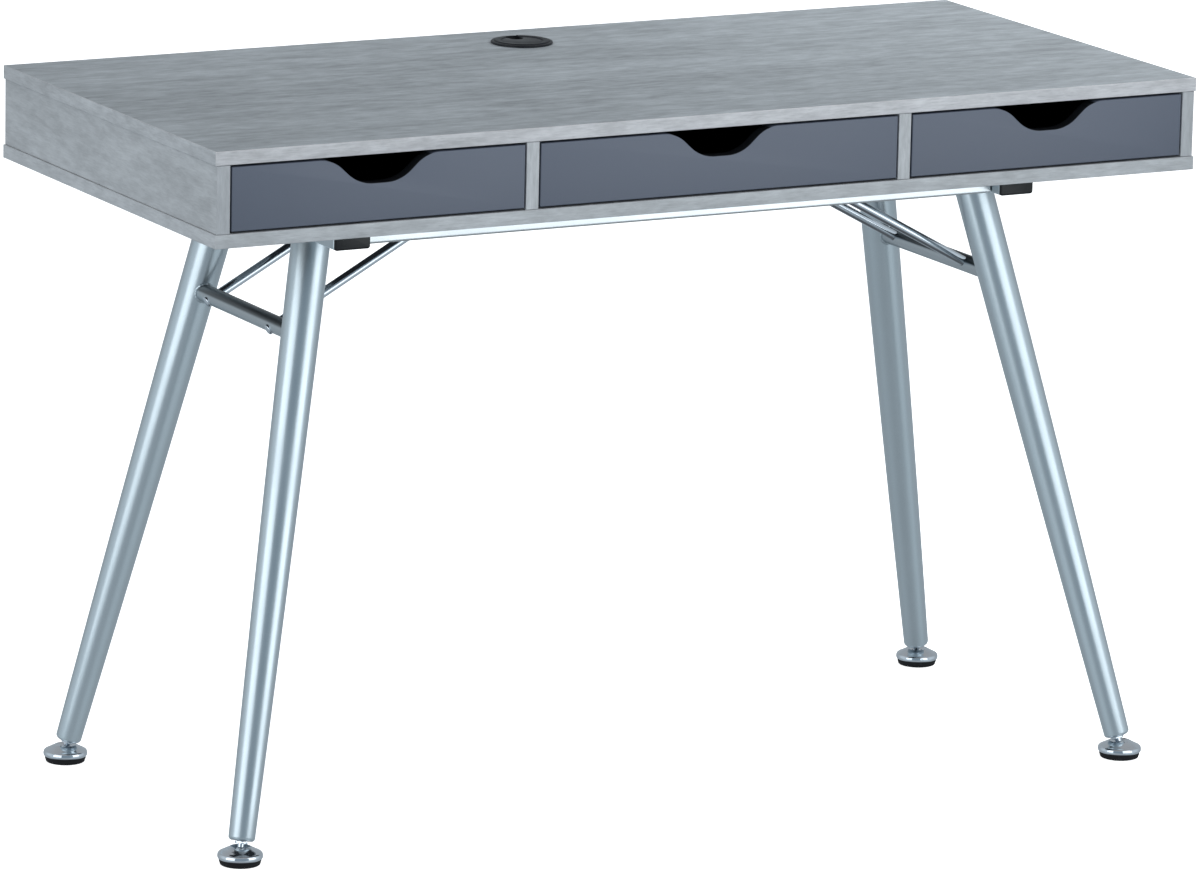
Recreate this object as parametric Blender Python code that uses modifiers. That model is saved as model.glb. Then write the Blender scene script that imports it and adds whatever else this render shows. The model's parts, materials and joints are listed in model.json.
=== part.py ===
"""A writing desk with three inset drawers on a splayed tubular steel frame.

Metres, +Z up. The origin is on the floor under the middle of the desktop. The drawers face -Y,
and +X is to the right for someone who looks at the front.
"""

import math

import bmesh
import bpy
from mathutils import Matrix, Vector

# Driving dimensions of the whole desk
WIDTH = 1.200
DEPTH = 0.550
HEIGHT = 0.781
CASE_HEIGHT = 0.1035  # from the desktop's surface to the underside of the case
BOARD = 0.015
OVERHANG = 0.002  # top and bottom boards stand this far outside the side panels
GAP = 0.0003  # between two pieces that touch
EDGE = 0.0008  # rounding of a board's edges

CASE_BOTTOM = HEIGHT - CASE_HEIGHT
FLOOR_BOARD_TOP = CASE_BOTTOM + BOARD
CEILING = HEIGHT - BOARD
FRONT = -DEPTH / 2
BACK = DEPTH / 2
PANEL_INSET = 0.0005  # upright panels sit this far behind the boards' front edges
SIDE_OUTER = WIDTH / 2 - OVERHANG
SIDE_INNER = SIDE_OUTER - BOARD
DIVIDER_OUTER = 0.2355
DIVIDER_INNER = DIVIDER_OUTER - BOARD
BACK_PANEL_FRONT = BACK - PANEL_INSET - BOARD

# Cable grommet in the desktop, and a plain hole behind it in the floor board of the case
GROMMET_Y = 0.195
GROMMET_HOLE_RADIUS = 0.030
LOWER_HOLE_Y = 0.226
LOWER_HOLE_RADIUS = 0.025
SLEEVE_OUTER = 0.0296
SLEEVE_INNER = 0.0278
SLEEVE_LENGTH = 0.017
FLANGE_RADIUS = 0.035
FLANGE_TOP = 0.0025
LEDGE_TOP = 0.0006
CAP_RADIUS = 0.0310
CAP_TOP = 0.0038
CABLE_SLOT_RADIUS = 0.008
CABLE_SLOT_CENTRE = 0.014

# Drawers: a front with a finger scoop, two grooved sides, a back and a thin bottom
FRONT_SIDE_GAP = 0.002
FRONT_TOP_GAP = 0.0025
FRONT_BOTTOM_GAP = 0.0025
SCOOP_TOP_WIDTH = 0.111
SCOOP_FLOOR_WIDTH = 0.049
SCOOP_DEPTH = 0.0283
SCOOP_LIP_RADIUS = 0.038
SCOOP_FLOOR_RADIUS = 0.043
DRAWER_SIDE_GAP = 0.003
DRAWER_WALL = 0.012
DRAWER_REAR = 0.140
DRAWER_WALL_BOTTOM = 0.6986
DRAWER_WALL_TOP = 0.7500
DRAWER_BOTTOM_THICKNESS = 0.003
BACK_WALL_DROP = 0.004  # the drawer's back is this much lower than its sides
GROOVE_BOTTOM = 0.7180
GROOVE_HEIGHT = 0.0126
GROOVE_DEPTH = 0.0060
GROOVE_FRONT_STOP = 0.012
RUNNER_REAR = 0.135

# Steel frame under the case
BEAM_WIDTH = 0.042
BEAM_HEIGHT = 0.026
BEAM_FRONT = -0.210
BEAM_REAR = 0.207
TUBE_WALL = 0.0015
CAP_PLATE = 0.003
CAP_PLUG_LENGTH = 0.015
CAP_ROUNDING = 0.003
RAIL_DEPTH = 0.025
RAIL_FRONT_Y = -0.1805
RAIL_REAR_Y = 0.1775
LEG_TOP_X = 0.4039
LEG_TOP_Y = {"front": -0.1078, "rear": 0.1038}
FOOT_X = 0.5526
FOOT_Y = {"front": -0.2488, "rear": 0.2126}
LEG_TOP_RADIUS = 0.0212
LEG_END_RADIUS = 0.0143
LEG_TAPER = 1.6  # more than 1: the taper grows towards the foot
LEG_RINGS = 6
CROSSBAR_Z = 0.545
CROSSBAR_RADIUS = 0.010
BRACE_RADIUS = 0.0054
BRACE_FROM_LEG = {"front": 0.060, "rear": 0.045}
BRACE_RISE = math.radians(28.6)
BRACE_HEAD_RADIUS = 0.0070
BRACE_TAB = (0.034, 0.020, 0.0032)

# Levelling feet, measured along the leg's axis from the middle of the ball
BALL_Z = 0.0140
BALL_RADIUS = 0.0055
NECK_RADIUS = 0.0036
NUT_START = 0.0080
NUT_END = 0.0107
NUT_CORNER_RADIUS = 0.0075
LEG_END = 0.0110
STUD_RADIUS = 0.005
STUD_TOP = 0.050
PAD_RADIUS = 0.0232
PAD_TOP = 0.0065
DISH_RADIUS = 0.0246

SIDES = {"left": -1, "right": 1}
ENDS = {"front": -1, "rear": 1}

# Colours as linear RGB, with roughness and metallic value
FINISHES = {
    "desktop_grey": ((0.235, 0.265, 0.290), 0.50, 0.0),
    "board_grey": ((0.340, 0.375, 0.410), 0.52, 0.0),
    "drawer_slate": ((0.122, 0.138, 0.185), 0.45, 0.0),
    "drawer_box": ((0.018, 0.019, 0.022), 0.55, 0.0),
    "frame_silver": ((0.540, 0.600, 0.630), 0.32, 0.9),
    "brace_chrome": ((0.760, 0.780, 0.800), 0.12, 1.0),
    "foot_chrome": ((0.760, 0.780, 0.800), 0.10, 1.0),
    "black_plastic": ((0.014, 0.016, 0.020), 0.42, 0.0),
    "black_rubber": ((0.010, 0.010, 0.011), 0.80, 0.0),
    "runner_steel": ((0.480, 0.490, 0.500), 0.35, 0.9),
}


def clear_scene():
    for obj in list(bpy.data.objects):
        bpy.data.objects.remove(obj, do_unlink=True)


def new_collection(name, hidden=False):
    collection = bpy.data.collections.new(name)
    collection.hide_render = hidden
    bpy.context.scene.collection.children.link(collection)
    return collection


def finish_material(name):
    if name in bpy.data.materials:
        return bpy.data.materials[name]
    colour, roughness, metallic = FINISHES[name]
    material = bpy.data.materials.new(name)
    material.use_nodes = True
    shader = material.node_tree.nodes["Principled BSDF"]
    shader.inputs["Base Color"].default_value = (*colour, 1.0)
    shader.inputs["Roughness"].default_value = roughness
    shader.inputs["Metallic"].default_value = metallic
    material.diffuse_color = (*colour, 1.0)
    return material


def add_object(name, mesh, finish):
    """A part with its finish or, where finish is None, a cutter."""
    obj = bpy.data.objects.new(name, mesh)
    if finish is None:
        obj.hide_render = True
        obj.display_type = "WIRE"
        CUTTERS.objects.link(obj)
    else:
        mesh.materials.append(finish_material(finish))
        PARTS.objects.link(obj)
    return obj


def box(name, x, y, z, finish, rounding=0.0, segments=1):
    """A box between the pairs of limits x, y and z, with its origin in its middle."""
    size = [limits[1] - limits[0] for limits in (x, y, z)]
    centre = [sum(limits) / 2 for limits in (x, y, z)]
    mesh = bpy.data.meshes.new(name)
    bm = bmesh.new()
    bmesh.ops.create_cube(bm, size=1.0, matrix=Matrix.Diagonal((*size, 1.0)))
    bm.to_mesh(mesh)
    bm.free()
    obj = add_object(name, mesh, finish)
    obj.location = centre
    if rounding:
        bevel = obj.modifiers.new("Edges", "BEVEL")
        bevel.width = rounding
        bevel.segments = segments
    return obj


def lathe(name, profile, steps, finish, closed=False):
    """A turned piece about its local Z, from (radius, height) points that run down the outside."""
    edges = [(index, index + 1) for index in range(len(profile) - 1)]
    if closed:
        edges.append((len(profile) - 1, 0))
    mesh = bpy.data.meshes.new(name)
    mesh.from_pydata([(radius, 0.0, height) for radius, height in profile], edges, [])
    obj = add_object(name, mesh, finish)
    screw = obj.modifiers.new("Turn", "SCREW")
    screw.steps = steps
    screw.render_steps = steps
    screw.use_merge_vertices = True
    screw.merge_threshold = 0.00005
    return obj


def aim(obj, origin, direction):
    """Puts the object's origin at a point and its local Z along a direction."""
    turn = Vector(direction).to_track_quat("Z", "Y").to_matrix().to_4x4()
    obj.matrix_world = Matrix.Translation(origin) @ turn
    return obj


def combine(obj, other, operation="DIFFERENCE"):
    boolean = obj.modifiers.new(operation.title(), "BOOLEAN")
    boolean.operation = operation
    boolean.solver = "EXACT"
    boolean.object = other


def arc(centre, radius, start, end, steps):
    """Points on an arc, from one angle to another in degrees."""
    angles = [math.radians(start + (end - start) * step / steps) for step in range(steps + 1)]
    return [(centre[0] + radius * math.cos(a), centre[1] + radius * math.sin(a)) for a in angles]


def rect_tube(name, x, y, z, along, finish):
    """A rectangular steel tube that is open at both ends of the named axis, 0 for X or 1 for Y."""
    tube = box(name, x, y, z, finish, CAP_ROUNDING, 2)
    limits = [list(x), list(y), list(z)]
    for axis, pair in enumerate(limits):
        grow = TUBE_WALL if axis == along else -TUBE_WALL
        limits[axis] = (pair[0] - grow, pair[1] + grow)
    # The rounding must not close the tube's ends, so they are trimmed square.
    for axis_end in (0, 1):
        edge = (x, y)[along][axis_end]
        slab = [(low - BOARD, high + BOARD) for low, high in (x, y, z)]
        slab[along] = (edge - BOARD, edge) if axis_end == 0 else (edge, edge + BOARD)
        combine(tube, box(f"{name}_trim_{axis_end}", *slab, None))
    combine(tube, box(f"{name}_bore", *limits, None))
    return tube


def leg_point(side, end, height):
    """The point of a leg's axis at a height above the floor."""
    foot = Vector((SIDES[side] * FOOT_X, FOOT_Y[end], 0.0))
    top = Vector((SIDES[side] * LEG_TOP_X, LEG_TOP_Y[end], CASE_BOTTOM))
    return foot.lerp(top, height / CASE_BOTTOM)


def leg_radius(distance, side, end):
    """The leg's outer radius at a distance along its axis from the middle of the ball."""
    length = (leg_point(side, end, CASE_BOTTOM) - leg_point(side, end, BALL_Z)).length
    from_top = max(0.0, 1 - (distance - LEG_END) / (length - LEG_END))
    return LEG_TOP_RADIUS - (LEG_TOP_RADIUS - LEG_END_RADIUS) * from_top ** LEG_TAPER


# The case


def make_case():
    board_y = (FRONT, BACK)
    board_x = (-WIDTH / 2, WIDTH / 2)
    top = box("top_board", board_x, board_y, (CEILING, HEIGHT), "desktop_grey", EDGE, 2)
    floor = box("bottom_board", board_x, board_y, (CASE_BOTTOM, FLOOR_BOARD_TOP), "board_grey", EDGE, 2)
    for board, hole_y, radius in (
        (top, GROMMET_Y, GROMMET_HOLE_RADIUS),
        (floor, LOWER_HOLE_Y, LOWER_HOLE_RADIUS),
    ):
        profile = [(0, BOARD), (radius, BOARD), (radius, -BOARD), (0, -BOARD)]
        hole = lathe(f"{board.name}_cable_hole", profile, 32, None)
        hole.location = (0.0, hole_y, board.location.z)
        combine(board, hole)
    upright_z = (FLOOR_BOARD_TOP + GAP, CEILING - GAP)
    panel_y = (FRONT + PANEL_INSET, BACK - PANEL_INSET)
    divider_y = (FRONT + PANEL_INSET, BACK_PANEL_FRONT - GAP)
    for side, sign in SIDES.items():
        outer = sorted((sign * SIDE_INNER, sign * SIDE_OUTER))
        box(f"side_panel_{side}", outer, panel_y, upright_z, "board_grey", EDGE, 1)
        inner = sorted((sign * DIVIDER_INNER, sign * DIVIDER_OUTER))
        box(f"divider_{side}", inner, divider_y, upright_z, "board_grey", EDGE, 1)
    back_x = (-SIDE_INNER + GAP, SIDE_INNER - GAP)
    back_y = (BACK_PANEL_FRONT, BACK - PANEL_INSET)
    box("back_panel", back_x, back_y, upright_z, "board_grey", EDGE, 1)


def make_grommet():
    sleeve_profile = [
        (CAP_RADIUS + GAP, FLANGE_TOP),
        (FLANGE_RADIUS - 0.0012, FLANGE_TOP),
        (FLANGE_RADIUS, FLANGE_TOP - 0.0012),
        (FLANGE_RADIUS, GAP),
        (SLEEVE_OUTER, GAP),
        (SLEEVE_OUTER, -SLEEVE_LENGTH),
        (SLEEVE_INNER, -SLEEVE_LENGTH),
        (SLEEVE_INNER, LEDGE_TOP),
        (CAP_RADIUS + GAP, LEDGE_TOP),
    ]
    sleeve = lathe("grommet_sleeve", sleeve_profile, 32, "black_plastic", closed=True)
    sleeve.location = (0.0, GROMMET_Y, HEIGHT)
    underside = LEDGE_TOP + GAP
    dome = [(CAP_RADIUS * share, CAP_TOP - 0.0014 * share**3) for share in (0, 0.4, 0.7, 0.95)]
    rim = [(CAP_RADIUS, CAP_TOP - 0.0020), (CAP_RADIUS, underside), (0, underside)]
    cap = lathe("grommet_cap", dome + rim, 32, "black_plastic")
    cap.location = (0.0, GROMMET_Y, HEIGHT)
    slot_y = GROMMET_Y + CABLE_SLOT_CENTRE
    end_profile = [(0, 0.01), (CABLE_SLOT_RADIUS, 0.01), (CABLE_SLOT_RADIUS, -0.01), (0, -0.01)]
    slot_end = lathe("cap_slot_end", end_profile, 16, None)
    slot_end.location = (0.0, slot_y, HEIGHT)
    slot_x = (-CABLE_SLOT_RADIUS, CABLE_SLOT_RADIUS)
    slot = box("cap_slot", slot_x, (slot_y, slot_y + 0.04), (HEIGHT - 0.01, HEIGHT + 0.01), None)
    combine(slot_end, slot, "UNION")
    combine(cap, slot_end)


# The drawers


def front_outline(width, height):
    """A drawer front's outline about the middle of its bottom edge, with the finger scoop."""
    half_top = SCOOP_TOP_WIDTH / 2
    half_floor = SCOOP_FLOOR_WIDTH / 2
    slope = math.degrees(math.atan2(SCOOP_DEPTH, half_top - half_floor))
    # Each rounding starts and ends this far from the corner that it replaces.
    lip_back = SCOOP_LIP_RADIUS * math.tan(math.radians(slope / 2))
    floor_back = SCOOP_FLOOR_RADIUS * math.tan(math.radians(slope / 2))
    lip_centre = (-half_top - lip_back, height - SCOOP_LIP_RADIUS)
    floor_centre = (-half_floor + floor_back, height - SCOOP_DEPTH + SCOOP_FLOOR_RADIUS)
    left_lip = arc(lip_centre, SCOOP_LIP_RADIUS, 90, 90 - slope, 5)
    left_floor = arc(floor_centre, SCOOP_FLOOR_RADIUS, 270 - slope, 270, 5)
    scoop = left_lip + left_floor
    mirrored = [(-x, z) for x, z in reversed(scoop)]
    top_corners = [(-width / 2, 0.0), (-width / 2, height)], [(width / 2, height), (width / 2, 0.0)]
    return top_corners[0] + scoop + mirrored + top_corners[1]


def outline_board(name, outline, thickness, finish):
    """An upright board with the given outline in X and Z, from a filled 2D curve."""
    curve = bpy.data.curves.new(name, "CURVE")
    curve.dimensions = "2D"
    curve.fill_mode = "BOTH"
    curve.extrude = thickness / 2
    spline = curve.splines.new("POLY")
    spline.points.add(len(outline) - 1)
    for point, (x, z) in zip(spline.points, outline):
        point.co = (x, z, 0.0, 1.0)
    spline.use_cyclic_u = True
    source = bpy.data.objects.new(f"{name}_outline", curve)
    PARTS.objects.link(source)
    source.rotation_euler.x = math.pi / 2
    bpy.context.view_layer.update()
    mesh = bpy.data.meshes.new_from_object(source.evaluated_get(bpy.context.evaluated_depsgraph_get()))
    bm = bmesh.new()
    bm.from_mesh(mesh)
    bmesh.ops.remove_doubles(bm, verts=bm.verts, dist=0.00001)
    bmesh.ops.recalc_face_normals(bm, faces=bm.faces)
    bm.to_mesh(mesh)
    bm.free()
    mesh.name = name
    obj = add_object(name, mesh, finish)
    obj.matrix_world = source.matrix_world
    bpy.data.objects.remove(source)
    bevel = obj.modifiers.new("Edges", "BEVEL")
    bevel.width = EDGE
    bevel.segments = 2
    bevel.limit_method = "ANGLE"
    bevel.angle_limit = math.radians(40)
    return obj


def make_drawer(place, left, right):
    """One drawer and its two runners, between the faces at x = left and x = right."""
    origin = bpy.data.objects.new(f"drawer_{place}_slide", None)
    PARTS.objects.link(origin)
    middle = (left + right) / 2
    front_y = (FRONT + PANEL_INSET, FRONT + PANEL_INSET + BOARD)
    front_height = CEILING - FRONT_TOP_GAP - FLOOR_BOARD_TOP - FRONT_BOTTOM_GAP
    origin.location = (middle, front_y[0], FLOOR_BOARD_TOP + FRONT_BOTTOM_GAP)
    outline = front_outline(right - left - 2 * FRONT_SIDE_GAP, front_height)
    front = outline_board(f"drawer_front_{place}", outline, BOARD, "drawer_slate")
    front.location = (middle, sum(front_y) / 2, origin.location.z)

    wall_y = (front_y[1] + GAP, DRAWER_REAR)
    wall_z = (DRAWER_WALL_BOTTOM, DRAWER_WALL_TOP)
    groove_z = (GROOVE_BOTTOM, GROOVE_BOTTOM + GROOVE_HEIGHT)
    pieces = [front]
    for side, sign, face in (("left", -1, left), ("right", 1, right)):
        outer = face - sign * DRAWER_SIDE_GAP
        wall_x = sorted((outer, outer - sign * DRAWER_WALL))
        wall = box(f"drawer_{place}_side_{side}", wall_x, wall_y, wall_z, "drawer_box", EDGE, 1)
        groove_x = sorted((outer + sign * BOARD, outer - sign * GROOVE_DEPTH))
        groove_y = (wall_y[0] + GROOVE_FRONT_STOP, DRAWER_REAR + BOARD)
        combine(wall, box(f"{wall.name}_groove", groove_x, groove_y, groove_z, None))
        pieces.append(wall)
        runner_x = sorted((face - sign * GAP, outer - sign * (GROOVE_DEPTH - 2 * GAP)))
        runner_z = (groove_z[0] + GAP, groove_z[1] - GAP)
        runner_y = (groove_y[0] + GAP, RUNNER_REAR)
        box(f"runner_{place}_{side}", runner_x, runner_y, runner_z, "runner_steel", EDGE, 1)
    inner = (left + DRAWER_SIDE_GAP + DRAWER_WALL + GAP, right - DRAWER_SIDE_GAP - DRAWER_WALL - GAP)
    back_y = (DRAWER_REAR - DRAWER_WALL, DRAWER_REAR)
    back_z = (DRAWER_WALL_BOTTOM, DRAWER_WALL_TOP - BACK_WALL_DROP)
    pieces.append(box(f"drawer_{place}_back", inner, back_y, back_z, "drawer_box", EDGE, 1))
    bottom_x = (left + DRAWER_SIDE_GAP, right - DRAWER_SIDE_GAP)
    bottom_z = (wall_z[0] - GAP - DRAWER_BOTTOM_THICKNESS, wall_z[0] - GAP)
    pieces.append(box(f"drawer_{place}_bottom", bottom_x, wall_y, bottom_z, "drawer_box", EDGE / 2, 1))
    bpy.context.view_layer.update()
    for piece in pieces:
        piece.parent = origin
        piece.matrix_parent_inverse = origin.matrix_world.inverted()


# The steel frame


def make_beam(side):
    """The tube that runs front to back under the case, with its two end caps."""
    centre = leg_point(side, "front", CASE_BOTTOM - BEAM_HEIGHT).x
    x = (centre - BEAM_WIDTH / 2, centre + BEAM_WIDTH / 2)
    z = (CASE_BOTTOM - GAP - BEAM_HEIGHT, CASE_BOTTOM - GAP)
    rect_tube(f"beam_{side}", x, (BEAM_FRONT, BEAM_REAR), z, 1, "frame_silver")
    slack = TUBE_WALL + GAP
    plug_x = (x[0] + slack, x[1] - slack)
    plug_z = (z[0] + slack, z[1] - slack)
    for end, mouth in (("front", BEAM_FRONT), ("rear", BEAM_REAR)):
        sign = ENDS[end]
        plate_y = sorted((mouth + sign * GAP, mouth + sign * CAP_PLATE))
        plug_y = sorted((mouth + sign * CAP_PLATE / 2, mouth - sign * CAP_PLUG_LENGTH))
        cap = box(f"beam_cap_{side}_{end}", x, plate_y, z, "black_plastic", CAP_PLATE / 3, 2)
        combine(cap, box(f"{cap.name}_plug", plug_x, plug_y, plug_z, None), "UNION")
    return x


def make_rail(end, centre_y, beam_faces):
    """A tube that joins the two beams, left to right."""
    z = (CASE_BOTTOM - GAP - BEAM_HEIGHT, CASE_BOTTOM - GAP)
    x = (beam_faces[0] + GAP, beam_faces[1] - GAP)
    y = (centre_y - RAIL_DEPTH / 2, centre_y + RAIL_DEPTH / 2)
    rect_tube(f"rail_{end}", x, y, z, 0, "frame_silver")


def make_leg(side, end):
    """A tapered tube with a round nose, cut level under its beam. It returns a cutter for it."""
    ball = leg_point(side, end, BALL_Z)
    along = leg_point(side, end, CASE_BOTTOM) - ball
    top = along.length + LEG_TOP_RADIUS
    nose = 0.004
    hole = STUD_RADIUS + GAP
    outer_end = leg_radius(LEG_END + nose, side, end)
    nose_points = arc((outer_end - nose, LEG_END + nose), nose, 0, -90, 3)
    rings = []
    for step in range(LEG_RINGS, 0, -1):
        distance = LEG_END + nose + (along.length - LEG_END - nose) * step / LEG_RINGS
        rings.append((leg_radius(distance, side, end), distance))
    outer = [(LEG_TOP_RADIUS, top), *rings]
    profile = outer + [*nose_points, (hole, LEG_END)]
    inner = [(hole, LEG_END + nose), (outer_end - TUBE_WALL, LEG_END + nose)]
    inner += [(radius - TUBE_WALL, distance) for radius, distance in reversed(outer)]
    leg = aim(lathe(f"leg_{end}_{side}", profile + inner, 24, "frame_silver", closed=True), ball, along)
    level = CASE_BOTTOM - BEAM_HEIGHT - 2 * GAP
    head = leg_point(side, end, level)
    trim_x = (head.x - 0.1, head.x + 0.1)
    trim_y = (head.y - 0.1, head.y + 0.1)
    combine(leg, box(f"{leg.name}_trim", trim_x, trim_y, (level, level + 0.2), None))
    clearance = GAP / math.cos(math.pi / 24)
    solid = [(0.0, top), *((radius + clearance, distance) for radius, distance in outer)]
    solid += [(LEG_END_RADIUS + clearance, LEG_END), (0.0, LEG_END)]
    return aim(lathe(f"{leg.name}_cope", solid, 24, None), ball, along)


def brace_line(side, end):
    """The middle of a brace in its crossbar, and the direction that it rises in."""
    leg = leg_point(side, end, CROSSBAR_Z)
    start = Vector((leg.x, leg.y - ENDS[end] * BRACE_FROM_LEG[end], CROSSBAR_Z))
    rise = Vector((-SIDES[side] * math.cos(BRACE_RISE), 0.0, math.sin(BRACE_RISE)))
    return start, rise


def make_brace(side, end):
    """A rod through the crossbar, up to a tab under the case. It returns a cutter for its hole."""
    start, rise = brace_line(side, end)
    tab_z = (CASE_BOTTOM - GAP - BRACE_TAB[2], CASE_BOTTOM - GAP)
    length = (tab_z[0] - 0.002 - CROSSBAR_Z) / math.sin(BRACE_RISE)
    head = CROSSBAR_RADIUS + GAP
    head_height = 0.0032
    dome = [(BRACE_HEAD_RADIUS * math.sin(a), -head - head_height * math.cos(a))
            for a in (math.radians(step * 22.5) for step in range(4, -1, -1))]
    profile = [(0.0, length), (BRACE_RADIUS, length), (BRACE_RADIUS, -head)] + dome
    brace = aim(lathe(f"brace_{end}_{side}", profile, 20, "brace_chrome"), start, rise)
    tip = start + rise * length
    middle = tip.x - SIDES[side] * BRACE_TAB[0] / 4
    tab_x = (middle - BRACE_TAB[0] / 2, middle + BRACE_TAB[0] / 2)
    tab_y = (tip.y - BRACE_TAB[1] / 2, tip.y + BRACE_TAB[1] / 2)
    combine(brace, box(f"{brace.name}_tab", tab_x, tab_y, tab_z, None), "UNION")
    clearance = BRACE_RADIUS + GAP
    hole = [(0.0, 0.02), (clearance, 0.02), (clearance, -0.02), (0.0, -0.02)]
    return aim(lathe(f"{brace.name}_hole", hole, 20, None), start, rise)


def make_crossbar(side, cutters):
    """The round tube between the two legs of a side, coped at its ends to fit them."""
    front = leg_point(side, "front", CROSSBAR_Z)
    rear = leg_point(side, "rear", CROSSBAR_Z)
    half = (rear.y - front.y) / 2
    bore = CROSSBAR_RADIUS - TUBE_WALL
    profile = [(bore, half), (CROSSBAR_RADIUS, half), (CROSSBAR_RADIUS, -half), (bore, -half)]
    bar = lathe(f"crossbar_{side}", profile, 24, "frame_silver", closed=True)
    aim(bar, (front + rear) / 2, (0.0, 1.0, 0.0))
    for cutter in cutters:
        combine(bar, cutter)


# The levelling feet


def make_foot(side, end):
    """A dish on a pad, and the ball stud that screws into the leg."""
    ball = leg_point(side, end, BALL_Z)
    along = leg_point(side, end, CASE_BOTTOM) - ball
    place = f"{end}_{side}"
    ball_arc = arc((0.0, 0.0), BALL_RADIUS, 49.1, -90, 6)
    stud_profile = [
        (0.0, STUD_TOP),
        (STUD_RADIUS - 0.001, STUD_TOP),
        (STUD_RADIUS, STUD_TOP - 0.001),
        (STUD_RADIUS, NUT_END - GAP),
        (NECK_RADIUS, NUT_START + GAP),
    ] + ball_arc[:-1] + [(0.0, -BALL_RADIUS)]
    stud = aim(lathe(f"foot_stud_{place}", stud_profile, 16, "foot_chrome"), ball, along)
    nut_profile = [
        (0.0, NUT_END),
        (NUT_CORNER_RADIUS, NUT_END),
        (NUT_CORNER_RADIUS, NUT_START),
        (0.0, NUT_START),
    ]
    nut = aim(lathe(f"foot_stud_{place}_hexagon", nut_profile, 6, None), ball, along)
    combine(stud, nut, "UNION")

    socket = BALL_RADIUS + GAP
    floor = BALL_Z - BALL_RADIUS - GAP
    dish_profile = [
        (0.0110, 0.0188),
        (0.0122, 0.0190),
        (0.0160, 0.0172),
        (0.0200, 0.0150),
        (0.0228, 0.0132),
        (DISH_RADIUS - 0.0004, 0.0114),
        (DISH_RADIUS, 0.0092),
        (DISH_RADIUS - 0.0008, PAD_TOP + GAP),
        (0.0, PAD_TOP + GAP),
    ]
    bowl = [(0.0, floor), (socket, floor), (socket, 0.0165)]
    dish = lathe(f"foot_dish_{place}", bowl + dish_profile, 24, "foot_chrome")
    dish.location = (ball.x, ball.y, 0.0)
    pad_profile = [
        (0.0, PAD_TOP),
        (PAD_RADIUS, PAD_TOP),
        (PAD_RADIUS - 0.0006, 0.0035),
        (PAD_RADIUS - 0.0016, 0.0010),
        (PAD_RADIUS - 0.0024, 0.0),
        (0.0, 0.0),
    ]
    pad = lathe(f"foot_pad_{place}", pad_profile, 24, "black_rubber")
    pad.location = (ball.x, ball.y, 0.0)


def settle(obj):
    """Replaces the object's modifiers by their result, and shades its round faces smooth."""
    graph = bpy.context.evaluated_depsgraph_get()
    mesh = bpy.data.meshes.new_from_object(obj.evaluated_get(graph))
    mesh.name = obj.name
    obj.modifiers.clear()
    obj.data = mesh
    mesh.shade_smooth()
    mesh.set_sharp_from_angle(angle=math.radians(32))


clear_scene()
PARTS = new_collection("writing_desk")
CUTTERS = new_collection("cutters", hidden=True)

make_case()
make_grommet()
make_drawer("left", -SIDE_INNER, -DIVIDER_OUTER)
make_drawer("middle", -DIVIDER_INNER, DIVIDER_INNER)
make_drawer("right", DIVIDER_OUTER, SIDE_INNER)

beams = {side: make_beam(side) for side in SIDES}
rail_span = (beams["left"][1], beams["right"][0])
make_rail("front", RAIL_FRONT_Y, rail_span)
make_rail("rear", RAIL_REAR_Y, rail_span)
for side in SIDES:
    bar_cutters = []
    for end in ENDS:
        bar_cutters.append(make_leg(side, end))
        bar_cutters.append(make_brace(side, end))
        make_foot(side, end)
    make_crossbar(side, bar_cutters)

bpy.context.view_layer.update()
for part in [obj for obj in PARTS.objects if obj.type == "MESH"]:
    settle(part)
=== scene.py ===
"""The look of the writing desk: fine pieces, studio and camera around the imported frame.

Metres, +Z up, drawers towards -Y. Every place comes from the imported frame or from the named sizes
below, so a piece lies where its CAD node lies.
"""

import json
import math

import bmesh
import bpy
from mathutils import Matrix, Vector


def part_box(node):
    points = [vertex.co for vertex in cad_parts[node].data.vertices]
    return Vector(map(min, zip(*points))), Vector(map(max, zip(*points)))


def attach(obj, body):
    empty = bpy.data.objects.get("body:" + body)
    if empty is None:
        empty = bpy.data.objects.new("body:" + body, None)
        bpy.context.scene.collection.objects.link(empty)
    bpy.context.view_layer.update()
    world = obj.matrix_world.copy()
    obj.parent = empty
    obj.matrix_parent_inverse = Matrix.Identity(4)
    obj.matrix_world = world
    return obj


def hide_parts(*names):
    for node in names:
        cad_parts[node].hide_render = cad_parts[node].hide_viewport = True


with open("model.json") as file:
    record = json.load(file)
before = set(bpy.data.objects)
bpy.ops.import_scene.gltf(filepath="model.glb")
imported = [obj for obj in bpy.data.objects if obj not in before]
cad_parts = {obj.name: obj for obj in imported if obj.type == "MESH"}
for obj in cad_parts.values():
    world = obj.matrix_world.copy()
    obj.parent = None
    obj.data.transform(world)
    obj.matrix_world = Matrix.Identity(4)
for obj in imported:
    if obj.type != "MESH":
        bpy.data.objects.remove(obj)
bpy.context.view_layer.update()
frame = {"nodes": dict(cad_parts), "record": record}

# Sizes that the frame doesn't state
BAND = 0.0010  # thickness of the edge banding
BAND_SEAM = 0.00008  # fine line between foil and edge banding
BOARD_ROUNDING = 0.0007
FRONT_ROUNDING = 0.0008
SCOOP_TOP_WIDTH = 0.111
SCOOP_FLOOR_WIDTH = 0.049
SCOOP_DEPTH = 0.0283
SCOOP_LIP_RADIUS = 0.038
SCOOP_FLOOR_RADIUS = 0.043
GROMMET_HOLE_RADIUS = 0.030
LOWER_HOLE_RADIUS = 0.025
LOWER_HOLE_Y = 0.226
CABLE_SLOT_RADIUS = 0.008
CABLE_SLOT_CENTRE = 0.014
TUBE_ROUNDING = 0.0030
TUBE_WALL = 0.0015
TUBE_MOUTH_ROUNDING = 0.0004
LEG_END = 0.0110  # along the leg's axis, from the middle of the foot's ball
LEG_END_RADIUS = 0.0143
LEG_TOP_RADIUS = 0.0212
LEG_TAPER = 1.6  # more than 1: the taper grows towards the foot
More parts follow.
